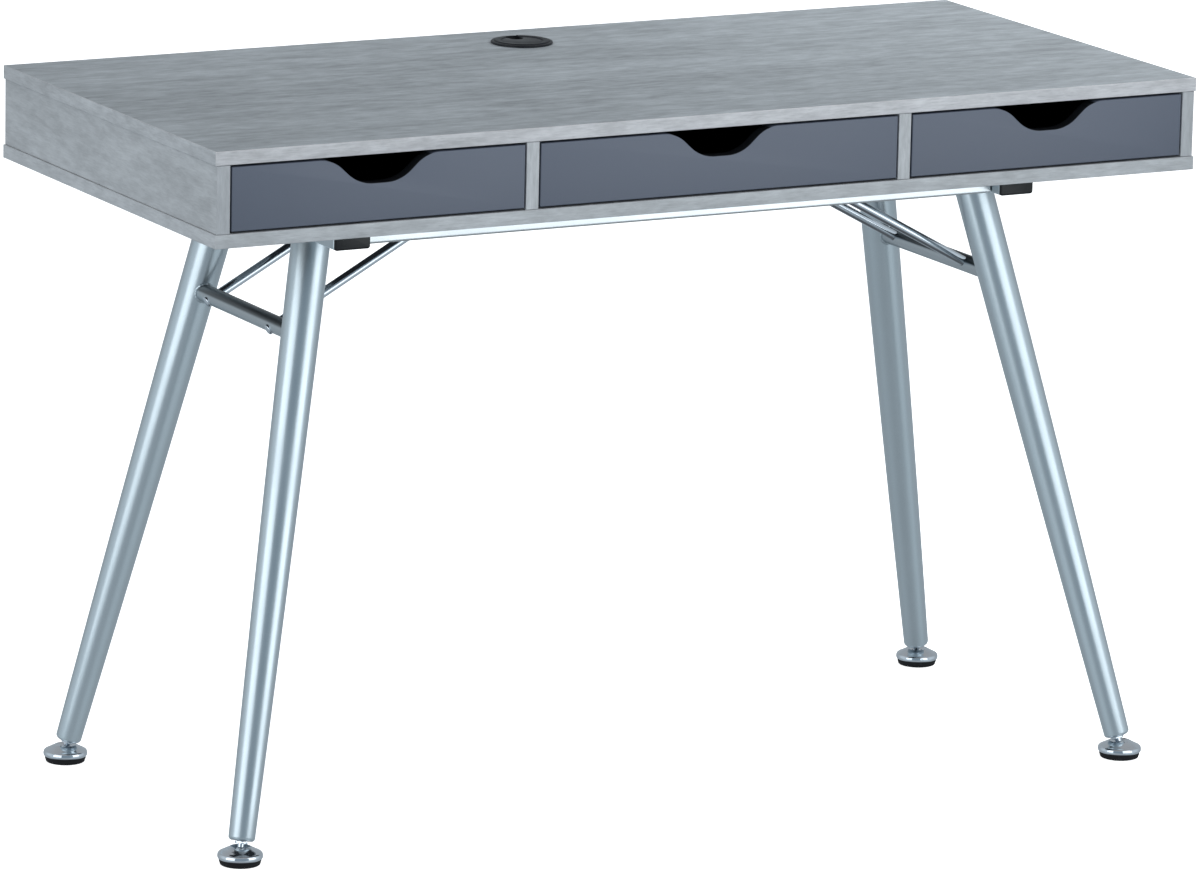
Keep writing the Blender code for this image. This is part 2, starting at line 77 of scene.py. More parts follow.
LEG_RINGS = 24
LEG_NOSE = 0.004
CROSSBAR_RADIUS = 0.010
BRACE_RADIUS = 0.0054
BRACE_FROM_LEG = {"front": 0.060, "rear": 0.045}
BRACE_RISE = math.radians(28.6)
BRACE_TAB_LENGTH = 0.034
BRACE_TAB_HALF_WIDTH = 0.0098
BRACE_TAB_HALF_THICKNESS = 0.0015
BRACE_HEAD_RADIUS = 0.0061
BRACE_HEAD_DOME = 0.0020
WELD_RADIUS = 0.0016
FIT = 0.0003  # play between a tube or rod and what it is put through
THREAD_PITCH = 0.0015
STUD_RADIUS = 0.005
STUD_TOP = 0.050
STUD_BORE_END = 0.055
NECK_RADIUS = 0.0036
BALL_RADIUS = 0.0055
NUT_START = 0.0081
NUT_END = 0.0106
NUT_CORNER_RADIUS = 0.0075
BOARD_SCREWS_Y = (-0.225, 0.0, 0.225)
BEAM_SCREWS_Y = (-0.150, 0.150)
RAIL_SCREWS_X = (-0.30, 0.0, 0.30)

# Dark tones by the way a surface faces: painted shade on the crossbars' tops and under the case, and near
# black on the scoop's cut faces
CROSSBAR_TOP_SHADE_SHARE = 0.26  # painted shade on the crossbars' tops, as a share of the silver coat's tone
SCOOP_TONE = (0.006, 0.0065, 0.0085, 1.0)
UNDER_CASE_SHADE_TONE = (0.030, 0.031, 0.034, 1.0)  # painted shade on the faces under the case

SIDES = {"left": -1, "right": 1}
ENDS = {"front": -1, "rear": 1}
DRAWERS = ("left", "middle", "right")
FACES = {"-y": "front", "+y": "back", "-x": "left", "+x": "right"}

# Camera: a long lens from the front left, a little above the desktop
CAMERA_PLACE = Vector((-4.0101, -7.5075, 2.3029))
CAMERA_HEADING = math.radians(28.146)  # from +Y towards +X
CAMERA_PITCH = math.radians(-12.799)
CAMERA_ROLL = math.radians(1.233)
CAMERA_LENS = 234.68

# Studio. Places are metres to the camera's right, towards the camera, and up.
AREA_LIGHTS = (
    # name, place, width, height, brightness, target, what it makes: reflections or light on surfaces
    ("softbox_left", (-1.95, 1.88, 0.95), 1.9, 2.3, 1.38, (0.0, 0.0, 0.95), "reflections"),
    ("softbox_right", (1.62, 1.22, 0.95), 1.6, 2.1, 1.38, (0.0, 0.0, 0.95), "reflections"),
    ("back_light", (1.15, -1.05, 1.60), 1.2, 1.2, 4.2, (0.1, 0.0, 0.78), "light"),
)
SOFTBOX_TONE = (0.94, 0.98, 1.0)
DAYLIGHT = (
    # name, degrees to the camera's right, degrees up, strength
    ("daylight_left", -55, 22, 0.85),
    ("daylight_right", 50, 22, 0.95),
)
# The room's tones by direction: behind the camera, beside it, far behind the desk, below, above
FLAG_TONE = (0.26, 0.33, 0.39, 1.0)
SIDE_TONE = (0.66, 0.74, 0.80, 1.0)
WALL_TONE = (0.42, 0.46, 0.49, 1.0)
FLOOR_TONE = (0.41, 0.46, 0.50, 1.0)
POOL_TONE = (0.60, 0.69, 0.75, 1.0)
UNDER_TONE = (0.10, 0.11, 0.12, 1.0)
CEILING_TONE = (0.42, 0.43, 0.44, 1.0)
FLOOR_GLOW = 0.85


# Mesh helpers


def smooth(mesh, angle=32):
    mesh.shade_smooth()
    mesh.set_sharp_from_angle(angle=math.radians(angle))


def turns(count):
    """Angles all the way round, in equal steps."""
    return [2 * math.pi * step / count for step in range(count)]


def block(low, high):
    """A box as a bmesh."""
    bm = bmesh.new()
    place = Matrix.Translation((low + high) / 2) @ Matrix.Diagonal((*(high - low), 1.0))
    bmesh.ops.create_cube(bm, size=1.0, matrix=place)
    return bm


def new_object(name, bm, smooth_angle=32):
    mesh = bpy.data.meshes.new(name)
    bmesh.ops.recalc_face_normals(bm, faces=bm.faces)
    bm.to_mesh(mesh)
    bm.free()
    smooth(mesh, smooth_angle)
    obj = bpy.data.objects.new(name, mesh)
    bpy.context.scene.collection.objects.link(obj)
    return obj


def settle(obj):
    """Replaces the object's modifiers and transform by their result."""
    bpy.context.view_layer.update()
    graph = bpy.context.evaluated_depsgraph_get()
    mesh = bpy.data.meshes.new_from_object(obj.evaluated_get(graph))
    mesh.transform(obj.matrix_world)
    obj.modifiers.clear()
    obj.matrix_world = Matrix.Identity(4)
    obj.data = mesh
    smooth(mesh)


def cut(obj, *cutters):
    """Cuts the cutters out of the object, and removes them."""
    for cutter in cutters:
        boolean = obj.modifiers.new("Cut", "BOOLEAN")
        boolean.operation = "DIFFERENCE"
        boolean.object = cutter
    settle(obj)
    for cutter in cutters:
        bpy.data.objects.remove(cutter)


def cover(obj, look):
    obj.data.materials.clear()
    obj.data.materials.append(FINISHES[look])


def finish_piece(obj, body, look, replaces=()):
    """Gives a piece its finish and its body, and hides the nodes that it stands for."""
    cover(obj, look)
    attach(obj, body)
    if replaces:
        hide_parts(*replaces)


def rounded_box(name, low, high, rounding=0.0, segments=3):
    bm = block(Vector(low), Vector(high))
    if rounding:
        bmesh.ops.bevel(bm, geom=bm.edges[:], offset=rounding, segments=segments, profile=0.5,
                        affect="EDGES")
    return new_object(name, bm)


def turned(name, profile, origin=(0, 0, 0), direction=(0, 0, 1), segments=96, closed=False):
    """A piece turned about a line, from (radius, height) points.

    The points start and end on the axis or, if closed, go round a section that is clear of it."""
    bm = bmesh.new()
    rings = []
    for radius, height in profile:
        if radius < 1e-7:
            rings.append([bm.verts.new((0.0, 0.0, height))])
            continue
        circle = [(radius * math.cos(angle), radius * math.sin(angle)) for angle in turns(segments)]
        rings.append([bm.verts.new((x, y, height)) for x, y in circle])
    for first, second in zip(rings, rings[1:] + (rings[:1] if closed else [])):
        join_rings(bm, first, second)
    bmesh.ops.transform(bm, matrix=placement(origin, direction), verts=bm.verts)
    return new_object(name, bm)


def placement(origin, direction):
    """The transform that puts the Z axis on a line."""
    return Matrix.Translation(origin) @ Vector(direction).to_track_quat("Z", "Y").to_matrix().to_4x4()


def drill(place, radius, half_length, direction=(0, 0, 1), segments=96):
    """A cylinder to cut a round hole with."""
    profile = [(0, half_length), (radius, half_length), (radius, -half_length), (0, -half_length)]
    return turned("drill", profile, place, direction, segments)


def join_rings(bm, first, second):
    """Faces between two rings of points, either of which may be a single point."""
    count = max(len(first), len(second))
    if count == 1:
        return
    for index in range(count):
        after = (index + 1) % count
        corners = [first[index % len(first)], first[after % len(first)]]
        corners += [second[after % len(second)], second[index % len(second)]]
        unique = list(dict.fromkeys(corners))
        if len(unique) > 2:
            bm.faces.new(unique)


def arc(centre, radius, start, end, steps):
    """Points on an arc, from one angle to another in degrees."""
    angles = [math.radians(start + (end - start) * step / steps) for step in range(steps + 1)]
    return [(centre[0] + radius * math.cos(a), centre[1] + radius * math.sin(a)) for a in angles]


def loft(name, sections, closed_path=False):
    """A skin over rings of points, with flat ends unless the path is closed."""
    bm = bmesh.new()
    rings = [[bm.verts.new(point) for point in section] for section in sections]
    pairs = list(zip(rings, rings[1:]))
    if closed_path:
        pairs.append((rings[-1], rings[0]))
    else:
        bm.faces.new(rings[0])
        bm.faces.new(rings[-1])
    for first, second in pairs:
        join_rings(bm, first, second)
    return new_object(name, bm)


def bead(name, points, radius, sides=10):
    """A closed bead of weld along a loop of points, a little uneven along its length."""
    sections = []
    reference = Vector((0.13, 0.27, 0.95))  # keeps neighbouring rings from twisting
    for index, point in enumerate(points):
        along = (points[(index + 1) % len(points)] - points[index - 1]).normalized()
        side = (reference - along * along.dot(reference)).normalized()
        up = along.cross(side)
        swell = radius * (1 + 0.10 * math.sin(index * math.pi / 2))
        sections.append([point + swell * (math.cos(angle) * side + math.sin(angle) * up)
                         for angle in turns(sides)])
    return loft(name, sections, closed_path=True)


# Where the frame's lines run


def joint(name):
    return next(item for item in frame["record"]["behaviour"]["joints"] if item["name"] == name)


def leg_axis(side, end):
    """The middle of the foot's ball, and the direction from there up the leg."""
    screw = joint(f"foot_{end}_{side}_screw")
    return Vector(screw["pos_m"]), -Vector(screw["axis"]).normalized()


def leg_point(side, end, height):
    ball, up = leg_axis(side, end)
    return ball + up * ((height - ball.z) / up.z)


def leg_length(side, end):
    """From the ball to the underside of the case, along the axis."""
    ball, up = leg_axis(side, end)
    return (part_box("bottom_board")[0][2] - ball.z) / up.z


def leg_radius(distance, side, end):
    from_top = max(0.0, 1 - (distance - LEG_END) / (leg_length(side, end) - LEG_END))
    return LEG_TOP_RADIUS - (LEG_TOP_RADIUS - LEG_END_RADIUS) * from_top ** LEG_TAPER


def span(node):
    low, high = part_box(node)
    return Vector(low), Vector(high)


def middle_of(node):
    low, high = span(node)
    return (low + high) / 2


# Finishes


class NodeTree:
    """Short calls for the nodes that the finishes and the studio share."""

    def __init__(self, tree):
        self.tree = tree

    def node(self, kind, **settings):
        node = self.tree.nodes.new(kind)
        for key, value in settings.items():
            setattr(node, key, value)
        return node

    def link(self, source, target):
        if isinstance(source, (int, float, tuple)):
            target.default_value = source
        else:
            self.tree.links.new(source, target)

    def ramp(self, value, low, high, bottom=0.0, top=1.0, smooth=True):
        """The value's range low to high, stretched to bottom to top and held there."""
        node = self.node("ShaderNodeMapRange")
        node.interpolation_type = "SMOOTHSTEP" if smooth else "LINEAR"
        for socket, number in zip(("From Min", "From Max", "To Min", "To Max"), (low, high, bottom, top)):
            node.inputs[socket].default_value = number
        self.link(value, node.inputs["Value"])
        return node.outputs["Result"]

    def math(self, operation, first, second):
        node = self.node("ShaderNodeMath", operation=operation)
        self.link(first, node.inputs[0])
        self.link(second, node.inputs[1])
        return node.outputs["Value"]

    def axis(self, vector, name):
        """One of a vector's three numbers."""
        node = self.node("ShaderNodeSeparateXYZ")
        self.link(vector, node.inputs["Vector"])
        return node.outputs[name]

    def mix(self, share, first, second):
        """A colour between two colours."""
        node = self.node("ShaderNodeMix", data_type="RGBA")
        self.link(share, node.inputs["Factor"])
        self.link(first, node.inputs["A"])
        self.link(second, node.inputs["B"])
        return node.outputs["Result"]


class Finish(NodeTree):
    """A material around one shader, whose patterns lie in the object's own coordinates."""

    def __init__(self, name, colour, roughness, metallic=0.0, **settings):
        self.material = bpy.data.materials.new(name)
        self.material.use_nodes = True
        super().__init__(self.material.node_tree)
        self.shader = self.tree.nodes["Principled BSDF"]
        self.set("Base Color", (*colour, 1.0))
        self.set("Roughness", roughness)
        self.set("Metallic", metallic)
        for socket, value in settings.items():
            self.set(socket.replace("_", " "), value)
        self.material.diffuse_color = (*colour, 1.0)
        self.place = self.node("ShaderNodeTexCoord").outputs["Object"]

    def set(self, socket, value):
        self.shader.inputs[socket].default_value = value

    def noise(self, stretch, detail=4.0, roughness=0.55, distortion=0.0):
        """Noise of mean 0.5 over the object's own coordinates, each axis scaled by stretch."""
        mapping = self.node("ShaderNodeMapping")
        mapping.inputs["Scale"].default_value = stretch
        self.link(self.place, mapping.inputs["Vector"])
        noise = self.node("ShaderNodeTexNoise")
        noise.inputs["Scale"].default_value = 1.0
        noise.inputs["Detail"].default_value = detail
        noise.inputs["Roughness"].default_value = roughness
        noise.inputs["Distortion"].default_value = distortion
        self.link(mapping.outputs["Vector"], noise.inputs["Vector"])
        return noise.outputs["Fac"]

    def edges(self, radius):
        """1 on the object's rounded edges, fading to 0 on its faces."""
        bevel = self.node("ShaderNodeBevel", samples=4)
        bevel.inputs["Radius"].default_value = radius
        geometry = self.node("ShaderNodeNewGeometry")
        dot = self.node("ShaderNodeVectorMath", operation="DOT_PRODUCT")
        self.link(bevel.outputs["Normal"], dot.inputs[0])
        self.link(geometry.outputs["Normal"], dot.inputs[1])
        return self.ramp(dot.outputs["Value"], 0.995, 0.80)

    def facing_up(self, flat=True):
        """The Z of the surface's normal, flat for each face or smooth."""
        normal = self.node("ShaderNodeNewGeometry").outputs["True Normal" if flat else "Normal"]
        return self.axis(normal, "Z")

    def bump(self, height, distance, strength=1.0):
        bump = self.node("ShaderNodeBump")
        bump.inputs["Distance"].default_value = distance
        bump.inputs["Strength"].default_value = strength
        self.link(height, bump.inputs["Height"])
        self.link(bump.outputs["Normal"], self.shader.inputs["Normal"])

    def colour(self, source):
        self.link(source, self.shader.inputs["Base Color"])

    def roughness(self, source):
        self.link(source, self.shader.inputs["Roughness"])


def rgb(red, green, blue):
    """Linear values of an sRGB colour given from 0 to 255."""
    def linear(value):
        value /= 255
        return value / 12.92 if value <= 0.04045 else ((value + 0.055) / 1.055) ** 2.4
    return tuple(linear(value) for value in (red, green, blue))


def shade(colour, factor):
    return (*(min(1.0, channel * factor) for channel in colour), 1.0)


def wood_foil(name, colour, along, contrast=1.0, painted_under_shade=False):
    """Printed wood-grain foil. along is the axis of the grain, 0 for X, 1 for Y or 2 for Z.

    Faces that look down can instead take painted shade: a plain dark tone that stands in for the shade
    under the case."""
    finish = Finish(name, colour, 0.48, Specular_IOR_Level=0.42)

    def stretch(lengthwise, across):
        return tuple(lengthwise if axis == along else across for axis in range(3))

    layers = (
        # lengthwise and crosswise scale, roughness of the noise, share of the tone
        (2.2, 11.0, 0.50, 0.22),
        (9.0, 55.0, 0.60, 0.26),
        (34.0, 120.0, 0.60, 0.30),
        (60.0, 520.0, 0.65, 0.22),
    )
    tone = 0.0
    for lengthwise, across, roughness, share in layers:
        layer = finish.noise(stretch(lengthwise, across), detail=4.0, roughness=roughness, distortion=0.15)
        tone = finish.math("ADD", tone, finish.math("MULTIPLY", finish.ramp(layer, 0.32, 0.68), share))
    fibres = finish.noise(stretch(14.0, 700.0), detail=3.0, roughness=0.65)
    pores = finish.noise(stretch(48.0, 1500.0), detail=2.0, roughness=0.5)
    base = finish.mix(tone, shade(colour, 1 - 0.30 * contrast), shade(colour, 1 + 0.30 * contrast))
    pore_mask = finish.math("MULTIPLY", finish.ramp(pores, 0.60, 0.74), 0.55 * contrast)
    base = finish.mix(pore_mask, base, shade(colour, 0.66))
    # Rounded edges are lighter: wear, and a painted highlight where they catch the light.
    worn_and_highlit_edges = finish.math("MULTIPLY", finish.edges(0.0011), 0.35)
    base = finish.mix(worn_and_highlit_edges, base, shade(colour, 1.30))
    if painted_under_shade:
        # Painted shade under the case: faces that look down take a near-black tone with faint fibres.
        under_shade_colour = finish.mix(finish.ramp(fibres, 0.3, 0.7), UNDER_CASE_SHADE_TONE, shade(UNDER_CASE_SHADE_TONE[:3], 1.5))
        base = finish.mix(finish.ramp(finish.facing_up(), -0.85, -0.95), base, under_shade_colour)
    finish.colour(base)
    finish.roughness(finish.ramp(fibres, 0.3, 0.7, 0.44, 0.56))
    relief = finish.math("SUBTRACT", fibres, finish.math("MULTIPLY", pore_mask, 0.8))
    finish.bump(relief, 0.00012, 0.55)
    return finish.material


def lacquer(name, colour):
    """Smooth satin lacquer with faint orange peel and a few fine specks."""
    finish = Finish(name, colour, 0.42, Specular_IOR_Level=0.45, Coat_Weight=0.12, Coat_Roughness=0.25)
    patches = finish.noise((7.0, 7.0, 7.0), detail=3.0)
    specks = finish.noise((900.0, 900.0, 900.0), detail=1.0)
    base = finish.mix(finish.ramp(patches, 0.3, 0.7), shade(colour, 0.965), shade(colour, 1.035))
    speck_mask = finish.math("MULTIPLY", finish.ramp(specks, 0.66, 0.76), 0.25)
    base = finish.mix(speck_mask, base, shade(colour, 1.2))
    # Rounded edges are lighter: wear, and a painted highlight where they catch the light.
    worn_and_highlit_edges = finish.math("MULTIPLY", finish.edges(0.0016), 0.30)
    base = finish.mix(worn_and_highlit_edges, base, shade(colour, 1.45))
    # Faces that look up, more than a millimetre below the front's top, are near black: the finger scoop's
    # cut faces.
    front_top = span("drawer_front_left")[1].z
    upward = finish.ramp(finish.facing_up(), 0.30, 0.60)
    below_top = finish.ramp(finish.axis(finish.place, "Z"), front_top - 0.0008, front_top - 0.0020)
    base = finish.mix(finish.math("MULTIPLY", upward, below_top), base, SCOOP_TONE)
    finish.colour(base)
    finish.roughness(finish.ramp(patches, 0.3, 0.7, 0.40, 0.50))
    peel = finish.noise((260.0, 260.0, 260.0), detail=2.0)
    finish.bump(peel, 0.00010, 0.35)
    return finish.material


def silver_coat(name, colour, shaded=False):
    """Silver powder coat: metallic flakes under a soft gloss, with fine orange peel.

    With shaded, the side that faces up to the case gets painted shade: a darker tone that stands in for the
    shade under the case and its dark reflection."""
    finish = Finish(name, colour, 0.31, 0.92, Coat_Weight=0.15, Coat_Roughness=0.20)
    flakes = finish.noise((2600.0, 2600.0, 2600.0), detail=1.0)
    patches = finish.noise((11.0, 11.0, 11.0), detail=3.0)
    base = finish.mix(finish.ramp(flakes, 0.35, 0.70), shade(colour, 0.93), shade(colour, 1.07))
    patch_mask = finish.math("MULTIPLY", finish.ramp(patches, 0.35, 0.7), 0.35)
    base = finish.mix(patch_mask, base, shade(colour, 0.93))
    if shaded:
        # Painted shade: faces that look up take a share of the coat's tone, for the shade and dark
        # reflection under the case.
        upward = finish.ramp(finish.facing_up(flat=False), 0.22, 0.50)
        base = finish.mix(upward, base, shade(colour, CROSSBAR_TOP_SHADE_SHARE))
    finish.colour(base)
    finish.roughness(finish.ramp(patches, 0.3, 0.7, 0.28, 0.35))
    peel = finish.noise((340.0, 340.0, 340.0), detail=2.0)
    finish.bump(peel, 0.00008, 0.30)
    return finish.material


def chrome(name, colour, roughness=0.08):
    """Polished plating with faint smears and hairline scratches."""
    finish = Finish(name, colour, roughness, 1.0)
    smears = finish.noise((60.0, 60.0, 60.0), detail=4.0)
    hairs = finish.noise((200.0, 200.0, 4200.0), detail=2.0)
    finish.colour(finish.mix(finish.ramp(smears, 0.35, 0.7), shade(colour, 0.96), shade(colour, 1.03)))
    finish.roughness(finish.ramp(smears, 0.3, 0.75, roughness * 0.7, roughness * 1.9))
    finish.bump(finish.ramp(hairs, 0.55, 0.75), 0.00002, 0.25)
    return finish.material


def black_plastic(name, colour):
    """Moulded plastic with a fine spark-eroded texture."""
    finish = Finish(name, colour, 0.42, Specular_IOR_Level=0.40)
    grain = finish.noise((1500.0, 1500.0, 1500.0), detail=2.0)
    patches = finish.noise((30.0, 30.0, 30.0), detail=3.0)
    base = finish.mix(finish.ramp(patches, 0.3, 0.7), shade(colour, 0.85), shade(colour, 1.2))
    # Rounded edges are much lighter: wear, and a painted highlight where they catch the light.
    base = finish.mix(finish.math("MULTIPLY", finish.edges(0.0009), 0.5), base, shade(colour, 2.2))
    finish.colour(base)
    finish.roughness(finish.ramp(patches, 0.3, 0.7, 0.36, 0.50))
    finish.bump(grain, 0.00010, 0.45)
    return finish.material


def rubber(name, colour):
    finish = Finish(name, colour, 0.78, Specular_IOR_Level=0.30)
    dust = finish.noise((90.0, 90.0, 90.0), detail=5.0, roughness=0.7)
    finish.colour(finish.mix(finish.ramp(dust, 0.52, 0.72), shade(colour, 1.0), shade(colour, 3.0)))
    finish.roughness(finish.ramp(dust, 0.3, 0.7, 0.70, 0.88))
    finish.bump(finish.noise((800.0, 800.0, 800.0), detail=3.0), 0.00015, 0.5)
    return finish.material


def zinc(name, colour):
    """Zinc plate: spangled blue-grey steel with drawing marks along its length."""
    finish = Finish(name, colour, 0.34, 0.95)
    spangle = finish.noise((70.0, 70.0, 70.0), detail=5.0, roughness=0.7)
    lines = finish.noise((1200.0, 8.0, 1200.0), detail=3.0)
    base = finish.mix(finish.ramp(spangle, 0.35, 0.65), shade(colour, 0.85), shade(colour, 1.12))
    finish.colour(base)
    finish.roughness(finish.ramp(spangle, 0.3, 0.7, 0.28, 0.44))
    finish.bump(lines, 0.00004, 0.35)
    return finish.material


def make_finishes():
    # One grey oak foil in seven tones, one for each place: lit and shaded copies with painted light and
    # shade in each tone. The desktop is darker, and the long edge bands and dividers are lighter than the
    # boards.
    top = (0.315, 0.335, 0.353)
    board = (0.448, 0.454, 0.464)
    edge = (0.620, 0.603, 0.608)
    end_edge = (0.460, 0.466, 0.477)
    low_edge = (0.515, 0.520, 0.528)
    divider = (0.547, 0.549, 0.556)
    stile = (0.440, 0.445, 0.455)
    box = rgb(34, 35, 38)
    return {
        "top_foil": wood_foil("desktop_foil_lengthwise", top, 0, 1.45),
        "band_x": wood_foil("edge_band_lengthwise", edge, 0),
        "band_y": wood_foil("edge_band_crosswise", end_edge, 1),
        "band_z": wood_foil("edge_band_upright", divider, 2),
        "low_band_x": wood_foil("low_edge_band_lengthwise", low_edge, 0),
        "low_band_y": wood_foil("low_edge_band_crosswise", end_edge, 1),
        "stile": wood_foil("end_panel_band", stile, 2, 0.8),
        "foil_x": wood_foil("case_foil_lengthwise", board, 0, 0.9),
        "foil_under": wood_foil("case_foil_with_painted_under_shade", board, 0, 0.9, painted_under_shade=True),
        "foil_y": wood_foil("case_foil_crosswise", board, 1, 0.9),
        "box_x": wood_foil("drawer_box_foil_lengthwise", box, 0, 0.5),
        "box_y": wood_foil("drawer_box_foil_crosswise", box, 1, 0.5),
        "slate": lacquer("drawer_front_lacquer", rgb(91, 97, 111)),
        # One silver coat in three tones, as lit and shaded copies: the rails lighter and the crossbars
        # darker than the frame, painted light and shade.
        "silver": silver_coat("frame_silver_coat", rgb(196, 206, 211)),
        "bar": silver_coat("crossbar_silver_coat", rgb(184, 191, 195), shaded=True),
        "rail": silver_coat("rail_silver_coat", rgb(222, 226, 228)),
        "brace": chrome("brace_polish", rgb(214, 220, 226), 0.10),
        "foot": chrome("foot_polish", rgb(212, 218, 224), 0.07),
        "screw": chrome("screw_plating", rgb(190, 194, 200), 0.16),
        "plastic": black_plastic("black_moulded_plastic", rgb(9, 11, 14)),
        "grommet": black_plastic("grommet_plastic", rgb(10, 12, 18)),
        "rubber": rubber("foot_pad_rubber", rgb(22, 22, 24)),
        "zinc": zinc("runner_zinc", rgb(186, 189, 194)),
    }


# The case


def banded_board(name, node, faces, grain, holes=()):
    """A foil-covered board with edge banding on the named faces, such as "-y"."""
    low, high = span(node)
    core_low, core_high = low.copy(), high.copy()
    for face in faces:
        axis = "xyz".index(face[1])
        if face[0] == "-":
            core_low[axis] += BAND + BAND_SEAM
        else:
            core_high[axis] -= BAND + BAND_SEAM
    core = rounded_box(f"{name}_core", core_low, core_high, 0.00025, 1)
    if holes:
        cut(core, *[drill(place, radius, 2 * (high.z - low.z)) for place, radius in holes])
    finish_piece(core, "root", grain, [node])
    corner_axes = {face[1] for face in faces}
    for face in faces:
        axis = "xyz".index(face[1])
        band_low, band_high = low.copy(), high.copy()
        if face[0] == "-":
            band_high[axis] = low[axis] + BAND
        else:
            band_low[axis] = high[axis] - BAND
        # Bands on the ends lie between the long ones.
        if face[1] == "x" and "y" in corner_axes:
            band_low[1] += BAND + BAND_SEAM
            band_high[1] -= BAND + BAND_SEAM
        band = edge_band(f"{name}_band_{FACES[face]}", band_low, band_high, face)
        lengthwise = max(range(3), key=lambda index: band_high[index] - band_low[index])
        look = ("band_x", "band_y", "band_z")[lengthwise]
        # The side panels' bands and the floor board's bands take their own tones of the foil, with painted
        # light and shade.
        if node.startswith("side_panel"):
            look = "stile"
        elif node == "bottom_board":
            look = f"low_{look}"
        finish_piece(band, "root", look)


def edge_band(name, low, high, face):
    """A thin strip whose outer long edges are rounded."""
    axis = "xyz".index(face[1])
    outer = low[axis] if face[0] == "-" else high[axis]
    bm = block(low, high)
    rim = [edge for edge in bm.edges if all(abs(vert.co[axis] - outer) < 1e-6 for vert in edge.verts)]
    bmesh.ops.bevel(bm, geom=rim, offset=BOARD_ROUNDING, segments=4, profile=0.5, affect="EDGES")
    return new_object(name, bm)


def make_case():
    top_hole = [(Vector(joint("grommet_cap_turn")["pos_m"]), GROMMET_HOLE_RADIUS)]
    lower_hole = [(Vector((0.0, LOWER_HOLE_Y, span("bottom_board")[0].z)), LOWER_HOLE_RADIUS)]
    around = ("-y", "+y", "-x", "+x")
    banded_board("desktop", "top_board", around, "top_foil", top_hole)
    banded_board("case_floor", "bottom_board", around, "foil_under", lower_hole)
    for side in SIDES:
        banded_board(f"end_panel_{side}", f"side_panel_{side}", ("-y", "+y"), "foil_y")
        banded_board(f"divider_panel_{side}", f"divider_{side}", ("-y",), "foil_y")
    cover(frame["nodes"]["back_panel"], "foil_x")


def make_grommet():
    centre = Vector(joint("grommet_cap_turn")["pos_m"])
    flange = [
        (0.0313, 0.0022), (0.0316, 0.0025), (0.0334, 0.0025), *arc((0.0338, 0.0013), 0.0012, 80, 0, 5),
        (0.0350, 0.0003), (0.0296, 0.0003), (0.0296, -0.0165), (0.0292, -0.0170), (0.0282, -0.0170),
        (0.0278, -0.0166), (0.0278, 0.0002), (0.0282, 0.0006), (0.0313, 0.0006),
    ]
    sleeve = turned("grommet_ring", flange, centre, closed=True)
    finish_piece(sleeve, "root", "grommet", ["grommet_sleeve"])
    disc = [
        (0.0, 0.0031), (0.0080, 0.0031), (0.0180, 0.0029), (0.0222, 0.0027), (0.0228, 0.0022),
        (0.0238, 0.0022), (0.0244, 0.0031), (0.0262, 0.0036), (0.0285, 0.0036),
        *arc((0.0296, 0.0022), 0.0014, 80, 0, 5), (0.0310, 0.0012), (0.0307, 0.0009), (0.0, 0.0009),
    ]
    cap = turned("grommet_lid", disc, centre)
    slot_middle = centre + Vector((0.0, CABLE_SLOT_CENTRE, 0.0))
    slot_end = drill(slot_middle, CABLE_SLOT_RADIUS, 0.010, segments=48)
    back = Vector((CABLE_SLOT_RADIUS, 0.0, 0.010))
    slot = rounded_box("slot", slot_middle - back, slot_middle + back + Vector((0.0, 0.040, 0.0)))
    cut(cap, slot_end, slot)
    finish_piece(cap, "grommet_cap", "grommet", ["grommet_cap"])


# The drawers


def front_outline(width, height):
    """A drawer front's outline about the middle of its bottom edge, with the finger scoop."""
    half_top = SCOOP_TOP_WIDTH / 2
    half_floor = SCOOP_FLOOR_WIDTH / 2
    slope = math.degrees(math.atan2(SCOOP_DEPTH, half_top - half_floor))
    lip_back = SCOOP_LIP_RADIUS * math.tan(math.radians(slope / 2))
    floor_back = SCOOP_FLOOR_RADIUS * math.tan(math.radians(slope / 2))
    lip = arc((-half_top - lip_back, height - SCOOP_LIP_RADIUS), SCOOP_LIP_RADIUS, 90, 90 - slope, 10)
    floor_middle = (-half_floor + floor_back, height - SCOOP_DEPTH + SCOOP_FLOOR_RADIUS)
    scoop = lip + arc(floor_middle, SCOOP_FLOOR_RADIUS, 270 - slope, 270, 10)
    mirrored = [(-x, z) for x, z in reversed(scoop)]
    half = width / 2
    return [(-half, 0.0), (-half, height), *scoop, *mirrored, (half, height), (half, 0.0)]


def make_front(place):
    low, high = span(f"drawer_front_{place}")
    outline = front_outline(high.x - low.x, high.z - low.z)
    middle = (low.x + high.x) / 2
    bm = bmesh.new()
    front = [bm.verts.new((middle + x, low.y, low.z + z)) for x, z in outline]
    face = bm.faces.new(front)
    pushed = bmesh.ops.extrude_face_region(bm, geom=[face])
    moved = [item for item in pushed["geom"] if isinstance(item, bmesh.types.BMVert)]
    bmesh.ops.translate(bm, vec=(0.0, high.y - low.y, 0.0), verts=moved)
    rim = [edge for edge in bm.edges if edge.calc_face_angle(0.0) > math.radians(60)]
    bmesh.ops.bevel(bm, geom=rim, offset=FRONT_ROUNDING, segments=4, profile=0.5, affect="EDGES")
    piece = new_object(f"drawer_front_panel_{place}", bm, 40)
    finish_piece(piece, f"drawer_{place}", "slate", [f"drawer_front_{place}"])


def make_drawers():
    for place in DRAWERS:
        make_front(place)
        looks = {"side_left": "box_y", "side_right": "box_y", "back": "box_x", "bottom": "box_x"}
        for part, look in looks.items():
            cover(frame["nodes"][f"drawer_{place}_{part}"], look)
        for side in SIDES:
            cover(frame["nodes"][f"runner_{place}_{side}"], "zinc")


# The steel frame


